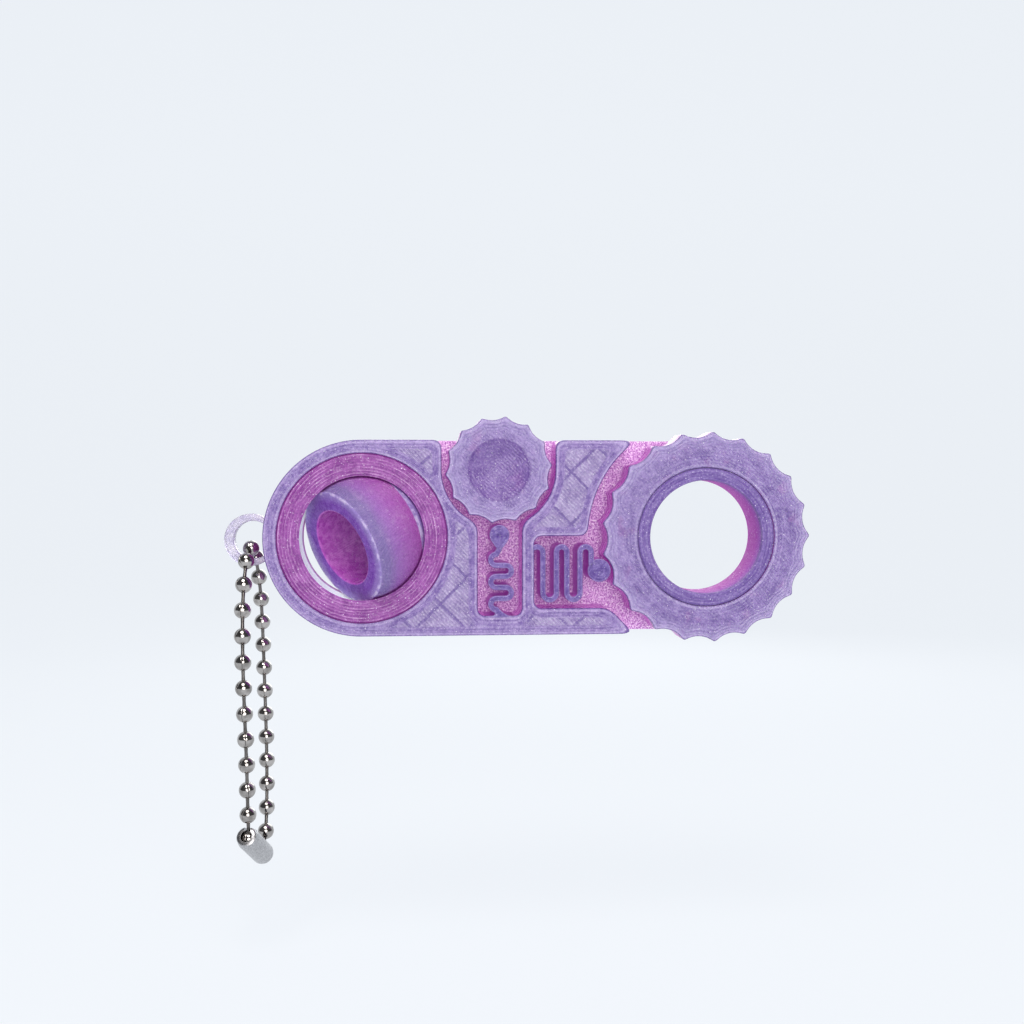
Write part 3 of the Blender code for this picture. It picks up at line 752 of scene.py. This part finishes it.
def base_field(x, z):
    whole = capsule_field(x, z, HALF_HEIGHT + 0.05)
    whole = np.maximum(whole, -disc_field(x, z, GYRO, socket_radius(FLOOR)))
    return np.maximum(whole, -disc_field(x, z, HUB, FINGER_R + 0.2))


def key_loop_field(x, z):
    loop = disc_field(x, z, GYRO + LOOP_CENTRE, LOOP_R)
    eye = disc_field(x, z, GYRO + EYE_CENTRE, EYE_R)
    body = capsule_field(x, z, HALF_HEIGHT - 0.4)
    return np.maximum(np.maximum(loop, -eye), -body)


def gear_field(teeth, tip, root, phase, centre, soft=0.3):
    half = pi / teeth
    away = (tip**2 - root**2) / (2 * (tip * cos(half) - root))
    hollow = away - root

    def field(x, z):
        r = np.hypot(x - centre.x, z - centre.y)
        turn = np.arctan2(z - centre.y, x - centre.x) - phase - half
        turn = (turn + half) % (2 * half) - half
        scallops = [
            np.hypot(r * np.cos(turn) - away * cos(side), r * np.sin(turn) - away * sin(side))
            - hollow
            for side in (-2 * half, 0.0, 2 * half)
        ]
        # Between two scallops the tooth comes to a blunt point.
        low = join(scallops[1], np.minimum(scallops[0], scallops[2]), soft)
        body = np.minimum(low, np.minimum(scallops[0], scallops[2]))
        return np.maximum(-body, r - tip - 0.02)

    return field


def socket_radius(y):
    return sqrt(SOCKET_R**2 - y**2)


def at_radius(centre, away, radius):
    away = away.normalized() * radius
    return centre.x + away.x, centre.y + away.y


# ---- springs' paths ----


def turn_points(centre, radius, start, end, steps=12):
    angles = [radians(start + (end - start) * i / steps) for i in range(steps + 1)]
    return [centre + Vector((radius * cos(a), radius * sin(a))) for a in angles]


def narrow_path():
    path = [GYRO + NARROW_HEAD - Vector((0, NARROW_NECK))]
    for lobe in range(5):
        left = lobe % 2 == 0
        z = NARROW_TOP - NARROW_PITCH * lobe
        x = NARROW_LEFT + NARROW_TURN_R if left else NARROW_RIGHT - NARROW_TURN_R
        start, end = (90, 270) if left else (90, -90)
        path += turn_points(GYRO + Vector((x, z)), NARROW_TURN_R, start, end)
    path.append(GYRO + Vector((20.2, NARROW_SLOT[1])))
    return path


def wide_path():
    first = WIDE_SLOT[0]
    xs = (first - 0.4, *WIDE_STRANDS[1:])
    path = []
    for i, (a, b) in enumerate(zip(xs, xs[1:])):
        upper = i % 2 == 0
        radius = (b - a) / 2
        edge = WIDE_TOP - STRAND / 2 - radius if upper else WIDE_BOTTOM + STRAND / 2 + radius
        start, end = (180, 0) if upper else (180, 360)
        path += turn_points(GYRO + Vector(((a + b) / 2, edge)), radius, start, end)
    path = [p for p in path if p.x >= GYRO.x + first]
    path.append(GYRO + Vector((WIDE_STRANDS[-1], WIDE_HEAD.y + 0.9)))
    return path


def bounds_of(path, margin):
    xs, zs = [p.x for p in path], [p.y for p in path]
    return (min(xs) - margin, min(zs) - margin, max(xs) + margin, max(zs) + margin)


# ---- meshes ----


def finish_mesh(name, bm, mat, smooth_degrees=SHARP_DEGREES):
    """A new object in place of a mesh in millimetres."""
    bmesh.ops.recalc_face_normals(bm, faces=bm.faces)
    bmesh.ops.scale(bm, vec=(MM, MM, MM), verts=bm.verts)
    mesh = bpy.data.meshes.new(name)
    bm.to_mesh(mesh)
    bm.free()
    mesh.shade_smooth()
    mesh.set_sharp_from_angle(angle=radians(smooth_degrees))
    mesh.materials.append(mat)
    obj = bpy.data.objects.new(name, mesh)
    bpy.context.scene.collection.objects.link(obj)
    return obj


def relief(
    name, field, box, step, front, back, mat, edge=EDGE, walls=(), wall=None, lift=None, rear=None
):
    """A slab with rounded edges whose outline is where field(x, z) is zero.

    walls are further depths at which wall(x, z, y) may move the side, and lift(x, z) is
    how far the front is sunk. rear(x, z) moves the points of the back along it. Each point
    keeps its distance from the outline in "rim".
    """
    x0, z0, x1, z1 = box
    nx, nz = round((x1 - x0) / step), round((z1 - z0) / step)
    grid_x, grid_z = np.meshgrid(np.linspace(x0, x1, nx + 1), np.linspace(z0, z1, nz + 1))
    height = field(grid_x, grid_z)
    bm = bmesh.new()
    rows = [
        [bm.verts.new((grid_x[j, i], grid_z[j, i], height[j, i])) for i in range(nx + 1)]
        for j in range(nz + 1)
    ]
    for j in range(nz):
        for i in range(nx):
            if height[j : j + 2, i : i + 2].min() > 0:
                continue
            a, b = rows[j][i], rows[j][i + 1]
            c, d = rows[j + 1][i + 1], rows[j + 1][i]
            bm.faces.new((a, b, c))
            bm.faces.new((a, c, d))
    bmesh.ops.delete(bm, geom=[v for v in bm.verts if not v.link_faces], context="VERTS")
    for level in (0.0, 0.12, 0.45, 1.0):
        bmesh.ops.bisect_plane(
            bm,
            geom=bm.verts[:] + bm.edges[:] + bm.faces[:],
            plane_co=(0, 0, -level * edge),
            plane_no=(0, 0, 1),
            clear_outer=level == 0.0,
            dist=1e-5,
        )
    rim = bm.verts.layers.float.new("rim")
    flat = {}
    for v in bm.verts:
        depth = max(-v.co.z, 0.0)
        v[rim] = depth
        flat[v] = (v.co.x, v.co.y, edge - sqrt(edge**2 - (edge - min(depth, edge)) ** 2))
    outline = [e for e in bm.edges if e.is_boundary]
    edges = [tuple(e.verts) for e in outline]
    made = bmesh.ops.duplicate(bm, geom=bm.verts[:] + bm.edges[:] + bm.faces[:])["vert_map"]
    for v, (x, z, sunk) in flat.items():
        v.co = (x, front + sunk + (lift(x, z) if lift else 0.0), z)
        rear_x, rear_z = rear(x, z) if rear else (x, z)
        made[v].co = (rear_x, back - sunk, rear_z)
    levels = [(front + edge), *walls, (back - edge)]
    sides = {}
    for v in {v for pair in edges for v in pair}:
        x, z, _ = flat[v]
        column = [v]
        for y in levels[1:-1]:
            column.append(bm.verts.new((x, y, z)))
        column.append(made[v])
        if wall:
            for w in column:
                w.co.x, w.co.z = wall(x, z, w.co.y)
        sides[v] = column
    for a, b in edges:
        for i in range(len(levels) - 1):
            bm.faces.new((sides[a][i], sides[b][i], sides[b][i + 1], sides[a][i + 1]))
    return finish_mesh(name, bm, mat)


def rounded(profile, radius, closed=True, steps=3):
    """The profile with its corners cut to short curves."""
    points = [Vector(p) for p in profile]
    result = []
    count = len(points)
    for i, p in enumerate(points):
        if not closed and i in (0, count - 1):
            result.append(tuple(p))
            continue
        a, b = points[i - 1], points[(i + 1) % count]
        to_a, to_b = (a - p).normalized(), (b - p).normalized()
        if to_a.dot(to_b) < -0.9:
            result.append(tuple(p))
            continue
        reach = min(radius, 0.45 * (a - p).length, 0.45 * (b - p).length)
        start, end = p + to_a * reach, p + to_b * reach
        for k in range(steps + 1):
            t = k / steps
            result.append(tuple((1 - t) ** 2 * start + 2 * t * (1 - t) * p + t**2 * end))
    return result


def turned(name, profile, centre, mat, segments=128, axis=(0, 1, 0)):
    turn = Vector((0, 1, 0)).rotation_difference(Vector(axis))
    bm = bmesh.new()
    closed = all(r > 1e-6 for r, _ in profile)
    verts = [bm.verts.new((r, along, 0)) for r, along in profile]
    pairs = list(zip(verts, verts[1:]))
    if closed:
        pairs.append((verts[-1], verts[0]))
    edges = [bm.edges.new(pair) for pair in pairs]
    bmesh.ops.spin(
        bm, geom=verts + edges, cent=(0, 0, 0), axis=(0, 1, 0), angle=2 * pi, steps=segments
    )
    bmesh.ops.remove_doubles(bm, verts=bm.verts, dist=1e-4)
    bmesh.ops.rotate(bm, cent=(0, 0, 0), matrix=turn.to_matrix(), verts=bm.verts)
    bmesh.ops.translate(bm, vec=centre, verts=bm.verts)
    return finish_mesh(name, bm, mat)


def at(centre, y=0.0):
    return Vector((centre.x, y, centre.y))


def arc(radius, start, end, steps):
    a0, a1 = asin(start / radius), asin(end / radius)
    angles = [a0 + (a1 - a0) * i / steps for i in range(steps + 1)]
    return [(radius * cos(a), radius * sin(a)) for a in angles]


# ---- the body ----


def make_body():
    def socket_wall(x, z, y):
        away = Vector((x, z)) - GYRO
        return at_radius(GYRO, away, socket_radius(y)) if away.length < SOCKET_R + 0.3 else (x, z)

    def clear_of_ring(x, z):
        """The deck's back starts outside the socket, which is wider there than in front."""
        away = Vector((x, z)) - GYRO
        past = SOCKET_R + 0.6
        if away.length >= past:
            return x, z
        hole = socket_radius(FRONT) - SNUG
        share = (past - socket_radius(FLOOR)) / (past - hole)
        return at_radius(GYRO, away, past - (past - away.length) * share)

    reach = HALF_HEIGHT + 0.7
    box = (GYRO.x - reach, GYRO.y - reach, HUB.x + reach, HUB.y + reach)
    deck = relief(
        "body_deck", deck_field, (box[0], box[1], HUB.x - 5, box[3]), 0.34, FRONT, SUNK_BACK,
        deck_material(),
        walls=(-2.6, -1.3, 0.0, 1.3),
        wall=socket_wall,
        rear=clear_of_ring,
    )
    base = relief(
        "body_base", base_field, box, 0.45, FLOOR, BACK, floor_material(),
        edge=0.2, walls=(3.0,), wall=socket_wall,
    )
    bulge = [(HUB_R, FRONT), (HUB_R + HUB_BULGE, HUB_BULGE_Y), (HUB_R, GEAR_BACK)]
    foot = [(HUB_R, SUNK_BACK), (FINGER_R + 0.5, BACK), (FINGER_R, BACK)]
    hub = turned(
        "body_hub",
        rounded([(FINGER_R, FRONT), *bulge, *foot], EDGE),
        at(HUB),
        hub_material(),
    )
    post = turned(
        "thumb_post",
        [(0, -0.5), (3.0, -0.5), (2.2, 1.2), (2.2, SUNK_BACK), (0, SUNK_BACK)],
        at(THUMB),
        deck.data.materials[0],
        48,
    )
    loop = relief(
        "key_loop_clear", key_loop_field, bounds_of([GYRO + LOOP_CENTRE], LOOP_R + 0.5),
        0.16, -LOOP_HALF_THICK, LOOP_HALF_THICK, clear_material(), edge=0.35,
    )
    for piece in (deck, base, hub, post):
        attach(piece, "body")
    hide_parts("frame")
    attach(loop, "body")
    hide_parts("key_loop")


def make_gyro():
    outer = arc(RING_R + SNUG, BACK, FRONT, 12)
    inner = arc(RING_INNER_R, FRONT, BACK, 12)
    ring = turned("gyro_ring_fine", rounded(outer + inner, 0.12), at(GYRO), gyro_ring_material())
    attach(ring, "gyro_ring")
    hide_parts("gyro_ring")
    profile = [*arc(BALL_R, BALL_FACE, BALL_TAIL, 14), (BORE_R, BALL_TAIL), (BORE_R, BALL_FACE)]
    profile = rounded(profile, 0.25)
    ball = turned("gyro_ball_fine", profile, at(GYRO), ball_material(), axis=BALL_AXIS)
    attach(ball, "gyro_ball")
    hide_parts("gyro_ball")


def make_gears():
    sphere = (DIMPLE_R**2 + DIMPLE_DEPTH**2) / (2 * DIMPLE_DEPTH)

    def dimple(x, z):
        r = (Vector((x, z)) - THUMB).length
        if r >= DIMPLE_R:
            return 0.0
        return sqrt(sphere**2 - r**2) - sphere + DIMPLE_DEPTH

    thumb = relief(
        "thumb_gear_fine",
        gear_field(THUMB_TEETH, THUMB_TIP_R, THUMB_ROOT_R, THUMB_PHASE, THUMB, 0.3),
        bounds_of([THUMB], THUMB_TIP_R + 0.4),
        0.24,
        FRONT,
        GEAR_BACK,
        gear_material("thumb_gear_print", THUMB, THUMB_TIP_R, 4.6, DIMPLE_R),
        lift=dimple,
    )
    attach(thumb, "thumb_gear")
    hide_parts("thumb_gear")

    teeth = gear_field(RING_TEETH, RING_TIP_R, RING_ROOT_R, RING_PHASE, HUB, 0.5)
    bore_r = HUB_R + SNUG

    def ring_field(x, z):
        return np.maximum(teeth(x, z), -disc_field(x, z, HUB, bore_r))

    def bore_wall(x, z, y):
        away = Vector((x, z)) - HUB
        if away.length > bore_r + 1:
            return x, z
        if y < HUB_BULGE_Y:
            t = (y - FRONT) / (HUB_BULGE_Y - FRONT)
        else:
            t = (GEAR_BACK - y) / (GEAR_BACK - HUB_BULGE_Y)
        return at_radius(HUB, away, bore_r + HUB_BULGE * max(t, 0.0))

    gear = relief(
        "ring_gear_fine",
        ring_field,
        bounds_of([HUB], RING_TIP_R + 0.5),
        0.3,
        FRONT,
        GEAR_BACK,
        gear_material("ring_gear_print", HUB, RING_TIP_R, 12.2),
        walls=(HUB_BULGE_Y,),
        wall=bore_wall,
    )
    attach(gear, "ring_gear")
    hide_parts("ring_gear")


def make_springs():
    mat = spring_material()
    centre, neck = GYRO + NARROW_HEAD, Vector((0, STRAND / 2 - NARROW_NECK))

    def narrow_head_field(x, z):
        head = disc_field(x, z, centre, NARROW_HEAD_R)
        return join(head, segment_field(x, z, centre, centre + neck, STRAND / 2), 1.2)

    def dent(x, z):
        r = (Vector((x, z)) - centre).length
        return 0.35 * max(0.0, 1 - (r / 0.42) ** 2)

    def wide_head_field(x, z):
        return disc_field(x, z, GYRO + WIDE_HEAD, WIDE_HEAD_R)

    heads = (
        ("narrow_head_fine", narrow_head_field, centre, "narrow_head", "narrow_click_head", dent),
        ("wide_head_fine", wide_head_field, GYRO + WIDE_HEAD, "wide_head", "wide_click_head", None),
    )
    for name, field, head, body, node, lift in heads:
        box = bounds_of([head], 2.6)
        piece = relief(name, field, box, 0.13, FRONT, GEAR_BACK, mat, edge=0.2, lift=lift)
        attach(piece, body)
        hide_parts(node)

    narrow, wide = narrow_path(), wide_path()
    foot = GYRO + Vector((20.2, NARROW_SLOT[1]))

    def narrow_field(x, z):
        strand = path_field(x, z, narrow, STRAND)
        return np.maximum(join(strand, z - foot.y, 0.9), foot.y - 0.3 - z)

    def wide_field(x, z):
        return path_field(x, z, wide, STRAND)

    narrow_box = (foot.x - 2.4, foot.y - 0.6, foot.x + 2.2, narrow[0].y + 0.6)
    narrow_keep = 1 - NARROW_TRAVEL / (narrow[0].y - foot.y)
    wide_keep = 1 - WIDE_TRAVEL / (wide[-1].x - wide[0].x)
    springs = (
        ("narrow_spring_fine", narrow_field, narrow_box, "narrow_click_spring", "narrow_click")
        + ((0, 0, -1), at(foot), narrow_keep),
        ("wide_spring_fine", wide_field, bounds_of(wide, STRAND), "wide_click_spring", "wide_click")
        + ((-1, 0, 0), at(wide[0]), wide_keep),
    )
    for name, field, box, node, joint, axis, anchor, keep in springs:
        piece = relief(name, field, box, 0.13, FRONT, GEAR_BACK, mat, edge=0.2)
        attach(piece, "body")
        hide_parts(node)
        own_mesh(piece)


# ---- the ball chain ----


def smooth_line(points, steps):
    points = [Vector(p) for p in points]
    ends = [2 * points[0] - points[1], *points, 2 * points[-1] - points[-2]]
    line = []
    for a, b, c, d in zip(ends, ends[1:], ends[2:], ends[3:]):
        for i in range(steps):
            t = i / steps
            curve = 2 * b + (c - a) * t + (2 * a - 5 * b + 4 * c - d) * t**2
            line.append(0.5 * (curve + (3 * b - a - 3 * c + d) * t**3))
    return [*line, points[-1]]


def evenly_along(line, count):
    lengths = [0.0]
    for a, b in zip(line, line[1:]):
        lengths.append(lengths[-1] + (b - a).length)
    places = np.linspace(0, lengths[-1], count)
    return [Vector(np.interp(s, lengths, axis) for axis in zip(*line)) for s in places]


def bead_places():
    steps = 40
    line = smooth_line(CHAIN_ROUTE, steps)
    top = max(range(len(CHAIN_ROUTE)), key=lambda i: CHAIN_ROUTE[i][2]) * steps
    front = evenly_along(line[: top + 1], FRONT_PITCHES + 1)
    rear = evenly_along(line[top:], REAR_PITCHES + 1)
    return front + rear[1:]


def close_rows(bm, rows):
    """Faces between each row of points and the next, and over both ends."""
    for a, b in zip(rows, rows[1:]):
        for i in range(len(a)):
            j = (i + 1) % len(a)
            bm.faces.new((a[i], a[j], b[j], b[i]))
    bm.faces.new(rows[0])
    bm.faces.new(rows[-1])


def add_bead(bm, seam, place, way, turn):
    """A bead rolled from sheet: a groove where its edges meet, and holes for the links."""
    rows = []
    spin = Quaternion(way, turn)
    base = Vector((0, 1, 0)).rotation_difference(way)
    around = sorted({*[360 * i / 24 for i in range(24)], 357.0, 3.0})
    for i in range(15):
        lat = radians(-76 + 152 * i / 14)
        row = []
        for degrees in around:
            groove = 1.0 if degrees == 0 else 0.0
            r = BEAD_R * (1 - 0.05 * groove)
            a = radians(degrees)
            point = Vector((r * cos(lat) * cos(a), BEAD_R * sin(lat), r * cos(lat) * sin(a)))
            vert = bm.verts.new(place + spin @ (base @ point))
            vert[seam] = groove
            row.append(vert)
        rows.append(row)
    for side in (0, -1):
        inner = []
        for vert in rows[side]:
            axis_point = place + way * (vert.co - place).dot(way)
            moved = bm.verts.new(place.lerp(axis_point.lerp(vert.co, 0.8), 0.82))
            moved[seam] = 1.0
            inner.append(moved)
        if side == 0:
            rows.insert(0, inner)
        else:
            rows.append(inner)
    close_rows(bm, rows)


def add_link(bm, seam, start, end):
    way = (end - start).normalized()
    base = Vector((0, 1, 0)).rotation_difference(way)
    rows = []
    for share in (0.0, 0.5, 1.0):
        centre = start.lerp(end, share)
        radius = PIN_R * (0.9 if share == 0.5 else 1.05)
        row = []
        for i in range(12):
            a = 2 * pi * i / 12
            vert = bm.verts.new(centre + base @ Vector((radius * cos(a), 0, radius * sin(a))))
            vert[seam] = 0.7
            row.append(vert)
        rows.append(row)
    close_rows(bm, rows)


def make_chain():
    chance = random.Random(7)
    beads = bead_places()
    bm = bmesh.new()
    seam = bm.verts.layers.float.new("seam")
    for i, place in enumerate(beads):
        way = (beads[min(i + 1, len(beads) - 1)] - beads[max(i - 1, 0)]).normalized()
        add_bead(bm, seam, place, way, chance.uniform(-0.9, 0.9) - pi / 2)
    for a, b in zip(beads, beads[1:]):
        way = (b - a).normalized() * BEAD_R * 0.8
        add_link(bm, seam, a + way, b - way)
    chain = finish_mesh("ball_chain", bm, nickel_material(), 50)
    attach(chain, "chain")
    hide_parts(*[f"chain_bead_{i + 1:02d}" for i in range(len(beads))])
    connector = make_connector(beads[0], beads[-1])


def make_connector(mouth, far):
    way, length = (far - mouth).normalized(), (far - mouth).length
    inner = CONNECTOR_R - CONNECTOR_WALL
    front = -BEAD_R - 0.25
    outside = [
        (MOUTH_HOLE_R, front),
        (MOUTH_R, front),
        (MOUTH_R + 0.2, front + 0.15),
        (CONNECTOR_R - 0.12, front + 0.75),
        (CONNECTOR_R, front + 1.3),
        *[(r, length + h) for r, h in arc(CONNECTOR_R, 0.0, CONNECTOR_R, 10)][:-1],
        (0, length + CONNECTOR_R),
    ]
    inside = [
        (0, length + inner),
        *[(r, length + h) for r, h in arc(inner, inner, 0.0, 10)][1:],
        (inner, front + 1.3),
        (MOUTH_HOLE_R + 0.15, front + 0.35),
    ]
    tube = turned("connector_fine", inside + outside, mouth, steel_material(), 48, axis=way)
    side = way.cross(Vector((0, 0, 1))).normalized()
    up = side.cross(way)
    bm = bmesh.new()
    bmesh.ops.create_cube(bm, size=1)
    size = Vector((CONNECTOR_SLOT, length - front + 1.4, CONNECTOR_R))
    bmesh.ops.scale(bm, vec=size, verts=bm.verts)
    bmesh.ops.rotate(bm, matrix=Matrix((side, way, up)).transposed(), verts=bm.verts)
    middle = mouth + way * (length + front) / 2 + up * (CONNECTOR_R / 2 + 0.6)
    bmesh.ops.translate(bm, vec=middle, verts=bm.verts)
    cutter = finish_mesh("connector_slot", bm, tube.data.materials[0])
    boolean = tube.modifiers.new("slot", "BOOLEAN")
    boolean.operation = "DIFFERENCE"
    boolean.solver = "EXACT"
    boolean.object = cutter
    graph = bpy.context.evaluated_depsgraph_get()
    cut = bpy.data.meshes.new_from_object(tube.evaluated_get(graph))
    tube.modifiers.clear()
    tube.data = cut
    cut.set_sharp_from_angle(angle=radians(SHARP_DEGREES))
    bpy.data.objects.remove(cutter)
    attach(tube, "chain")
    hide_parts("chain_connector")
    return tube


def main():
    make_camera()
    make_studio()
    make_chain()
    make_body()
    make_gyro()
    make_gears()
    make_springs()


main()
